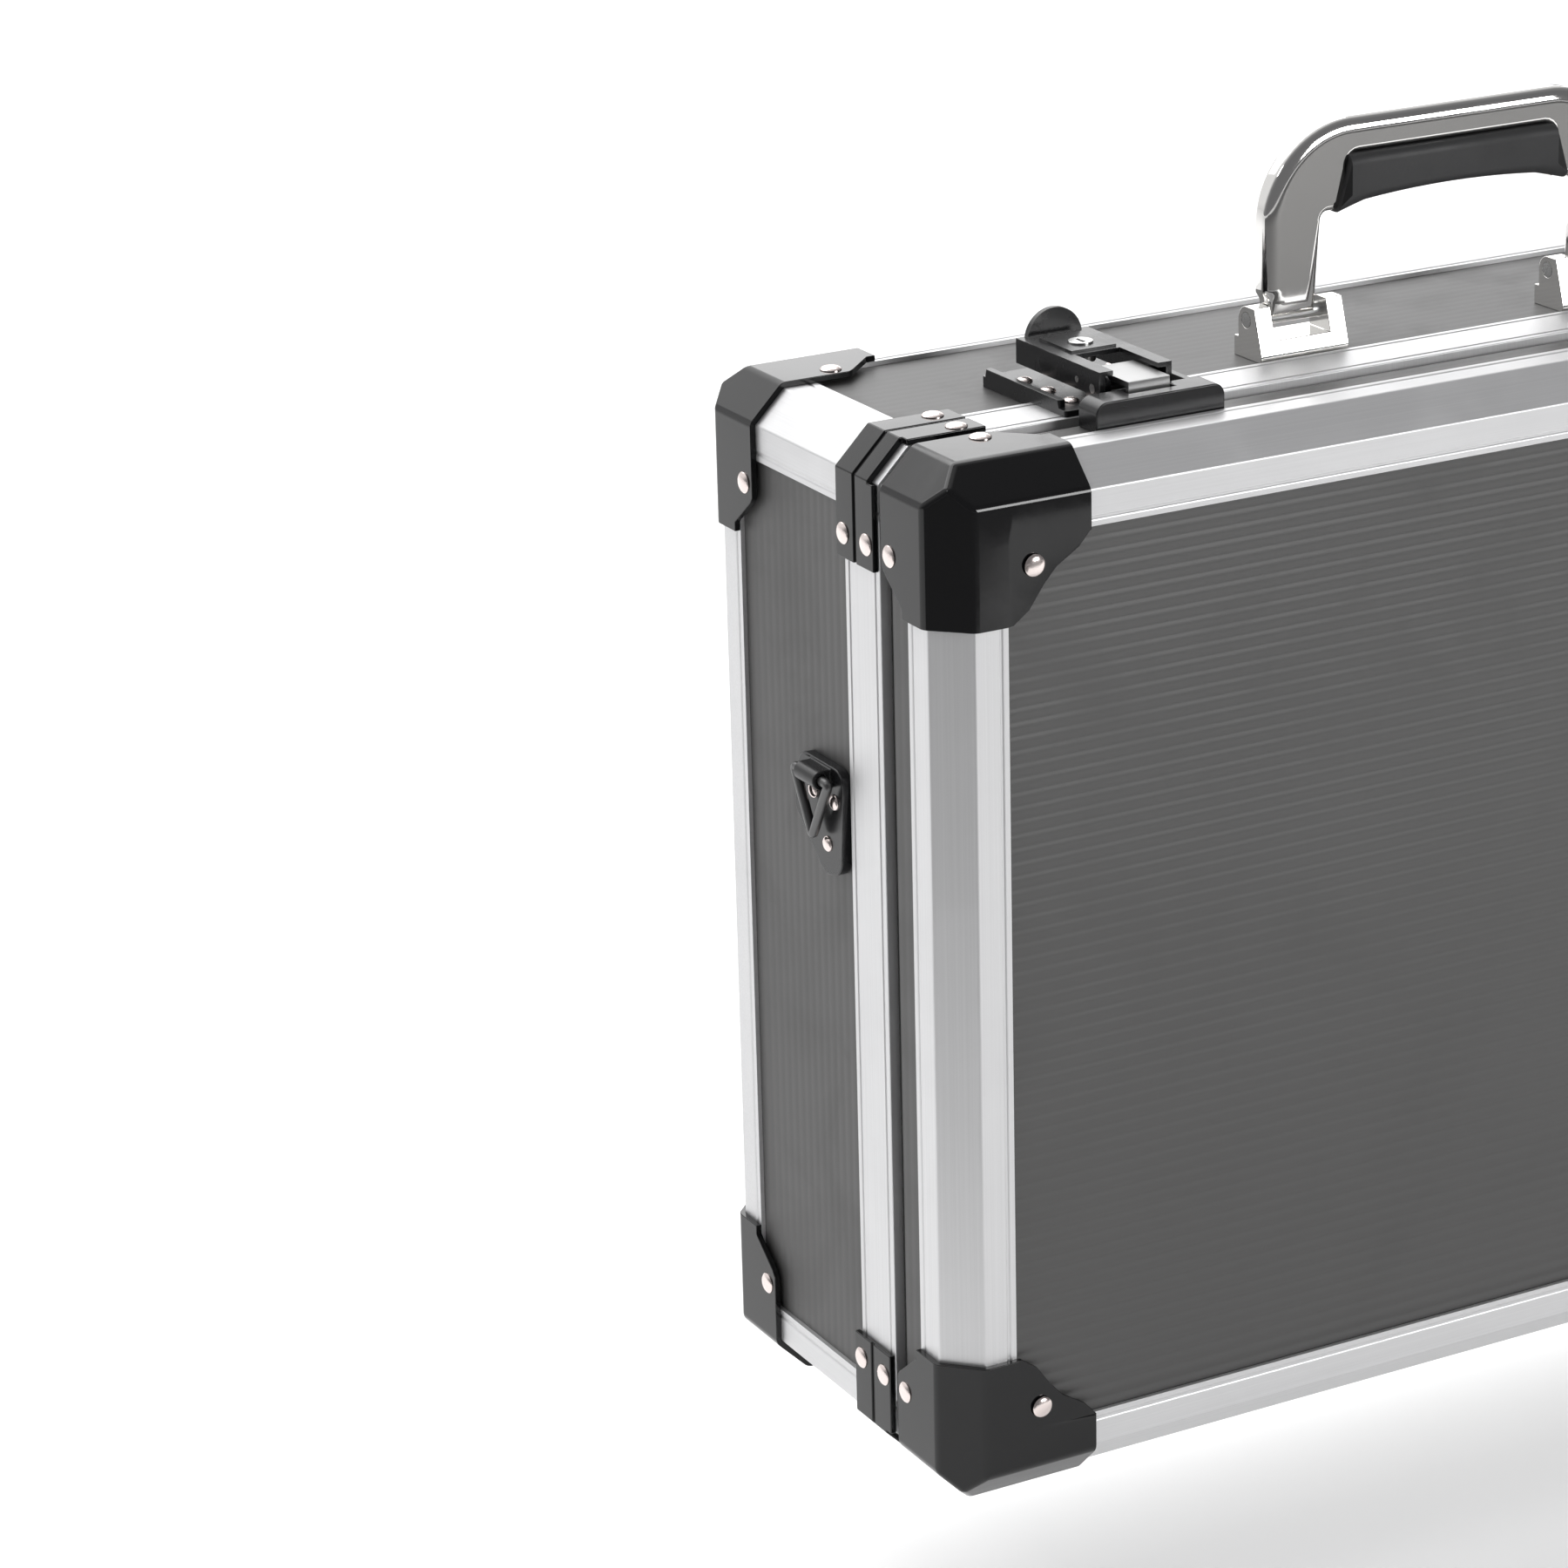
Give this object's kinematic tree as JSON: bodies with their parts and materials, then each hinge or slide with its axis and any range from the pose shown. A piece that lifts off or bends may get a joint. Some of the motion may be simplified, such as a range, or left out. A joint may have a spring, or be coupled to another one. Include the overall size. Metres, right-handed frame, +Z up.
{
  "type": "attache case",
  "caption": "Hard attache case with aluminium edges, ribbed dark panels, riveted black corner guards, draw latches, a folding chrome handle and strap rings on its sides",
  "frame": {"origin": "Middle of the footprint, on the surface that the case stands on", "axes": "+X to the right along the width, +Y from the lid to the back, +Z up to the handle"},
  "size_m": [0.473, 0.1586, 0.4125],
  "materials": {
    "ribbed_panel": "satin dark grey with fine ribs",
    "aluminium_edge": "satin anodised",
    "black_guard": "glossy moulded black",
    "rivet": "polished dome",
    "lining": "close dark felt",
    "seal": "dull black",
    "steel_fitting": "plated steel",
    "chrome_handle": "mirror plated",
    "soft_grip": "matte black",
    "ring_wire": "dark plated wire",
    "latch_black": "semi-gloss black"
  },
  "bodies": {
    "base": {"back_panel": "ribbed_panel", "base_wall_top": "ribbed_panel", "base_wall_bottom": "ribbed_panel", "base_wall_left": "ribbed_panel", "base_wall_right": "ribbed_panel", "rim_strips": "aluminium_edge", "back_profiles": "aluminium_edge", "base_edge_profiles": "aluminium_edge", "back_corner_top_left": "black_guard", "back_corner_top_right": "black_guard", "back_corner_bottom_left": "black_guard", "back_corner_bottom_right": "black_guard", "rim_corner_top_left": "black_guard", "rim_corner_top_right": "black_guard", "rim_corner_bottom_left": "black_guard", "rim_corner_bottom_right": "black_guard", "base_lining": "lining", "base_rivets": "rivet", "base_hinge_leaf": "steel_fitting", "hinge_pin": "steel_fitting", "latch_plate_left": "latch_black", "latch_plate_right": "latch_black", "latch_pins": "steel_fitting", "handle_bracket_left": "chrome_handle", "handle_bracket_right": "chrome_handle", "handle_pins": "steel_fitting", "strap_plate_left": "black_guard", "strap_plate_right": "black_guard"},
    "lid": {"lid_front_panel": "ribbed_panel", "lid_wall_top": "ribbed_panel", "lid_wall_bottom": "ribbed_panel", "lid_wall_left": "ribbed_panel", "lid_wall_right": "ribbed_panel", "lid_profile_top": "aluminium_edge", "lid_profile_bottom": "aluminium_edge", "lid_profile_left": "aluminium_edge", "lid_profile_right": "aluminium_edge", "lid_edge_profiles": "aluminium_edge", "lid_corner_top_left": "black_guard", "lid_corner_top_right": "black_guard", "lid_corner_bottom_left": "black_guard", "lid_corner_bottom_right": "black_guard", "lid_seal": "seal", "lid_lining": "lining", "lid_rivets": "rivet", "lid_hinge_leaf": "steel_fitting", "catch_left": "latch_black", "catch_right": "latch_black"},
    "handle": {"handle_frame": "chrome_handle", "handle_grip": "soft_grip"},
    "lever_left": {"lever_left": "latch_black", "hook_pin_left": "steel_fitting"},
    "hook_left": {"hook_left": "latch_black"},
    "lock_left": {"lock_left": "steel_fitting"},
    "strap_ring_left": {"strap_ring_left": "ring_wire"},
    "lever_right": {"lever_right": "latch_black", "hook_pin_right": "steel_fitting"},
    "hook_right": {"hook_right": "latch_black"},
    "lock_right": {"lock_right": "steel_fitting"},
    "strap_ring_right": {"strap_ring_right": "ring_wire"}
  },
  "joints": [
    {"name": "lid_hinge", "type": "hinge", "parent": "base", "child": "lid", "pos_m": [0, -0.0396, 0.002], "axis": [1, 0, 0], "range_deg": [0, 95]},
    {"name": "handle_fold", "type": "hinge", "parent": "base", "child": "handle", "pos_m": [0, -0.0035, 0.351], "axis": [-1, 0, 0], "range_deg": [0, 90]},
    {"name": "lever_left_hinge", "type": "hinge", "parent": "base", "child": "lever_left", "pos_m": [-0.138, -0.034, 0.347], "axis": [1, 0, 0], "range_deg": [0, 85]},
    {"name": "hook_left_hinge", "type": "hinge", "parent": "lever_left", "child": "hook_left", "pos_m": [-0.138, -0.025, 0.348], "axis": [1, 0, 0], "range_deg": [-95.2, 0]},
    {"name": "lock_left_turn", "type": "hinge", "parent": "lever_left", "child": "lock_left", "pos_m": [-0.138, -0.006, 0.35], "axis": [0, 0, 1], "range_deg": [0, 90]},
    {"name": "ring_left_swing", "type": "hinge", "parent": "base", "child": "strap_ring_left", "pos_m": [-0.2334, 0, 0.227], "axis": [0, 1, 0], "range_deg": [0, 150]},
    {"name": "lever_right_hinge", "type": "hinge", "parent": "base", "child": "lever_right", "pos_m": [0.138, -0.034, 0.347], "axis": [1, 0, 0], "range_deg": [0, 85]},
    {"name": "hook_right_hinge", "type": "hinge", "parent": "lever_right", "child": "hook_right", "pos_m": [0.138, -0.025, 0.348], "axis": [1, 0, 0], "range_deg": [-95.2, 0]},
    {"name": "lock_right_turn", "type": "hinge", "parent": "lever_right", "child": "lock_right", "pos_m": [0.138, -0.006, 0.35], "axis": [0, 0, 1], "range_deg": [0, 90]},
    {"name": "ring_right_swing", "type": "hinge", "parent": "base", "child": "strap_ring_right", "pos_m": [0.2334, 0, 0.227], "axis": [0, -1, 0], "range_deg": [0, 150]}
  ],
  "couplings": [
    {"joint": "hook_left_hinge", "follows": "lever_left_hinge", "ratio": -1.12},
    {"joint": "hook_right_hinge", "follows": "lever_right_hinge", "ratio": -1.12}
  ]
}
